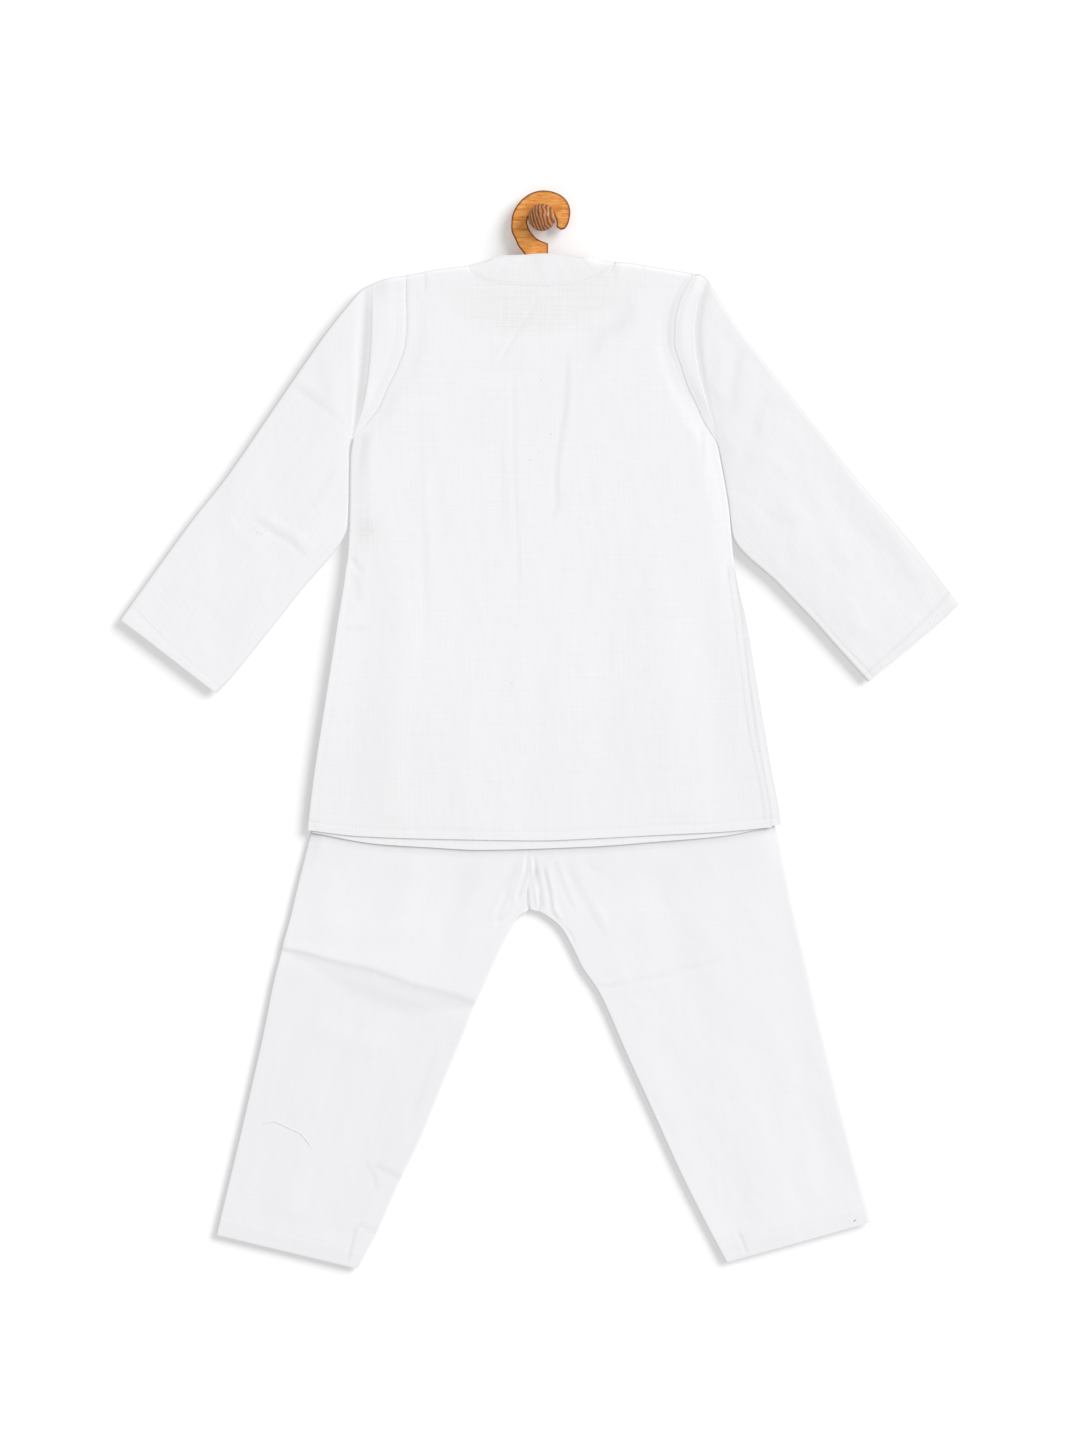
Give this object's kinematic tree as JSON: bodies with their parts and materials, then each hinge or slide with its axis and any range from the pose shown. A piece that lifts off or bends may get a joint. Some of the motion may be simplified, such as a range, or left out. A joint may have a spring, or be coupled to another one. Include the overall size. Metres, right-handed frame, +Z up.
{
  "type": "kurta pyjama set on hanger",
  "caption": "Child's plain kurta with a band collar and side slits over a plain pyjama, hung flat on a wooden hanger from a round wall knob.",
  "frame": {"origin": "centre of the wall knob's flat end, which is fixed to the wall", "axes": "+Z up, +Y into the wall, +X to the right of someone facing the wall; the kurta's back faces -Y"},
  "size_m": [0.7554, 0.0348, 0.9706],
  "materials": {
    "kurta_cotton": "matte slub cotton, off white",
    "pyjama_cotton": "matte plain cotton, off white",
    "button_white": "satin",
    "hanger_wood": "matte, dark cut edges",
    "knob_wood": "striped grain, satin"
  },
  "bodies": {
    "root": {"kurta_back": "kurta_cotton", "kurta_front": "kurta_cotton", "sleeve_left": "kurta_cotton", "sleeve_right": "kurta_cotton", "collar": "kurta_cotton", "placket": "kurta_cotton", "button_1": "button_white", "button_2": "button_white", "button_3": "button_white", "pyjama_leg_left": "pyjama_cotton", "pyjama_leg_right": "pyjama_cotton", "pyjama_waistband": "pyjama_cotton", "hanger": "hanger_wood", "wall_knob": "knob_wood"}
  },
  "joints": []
}
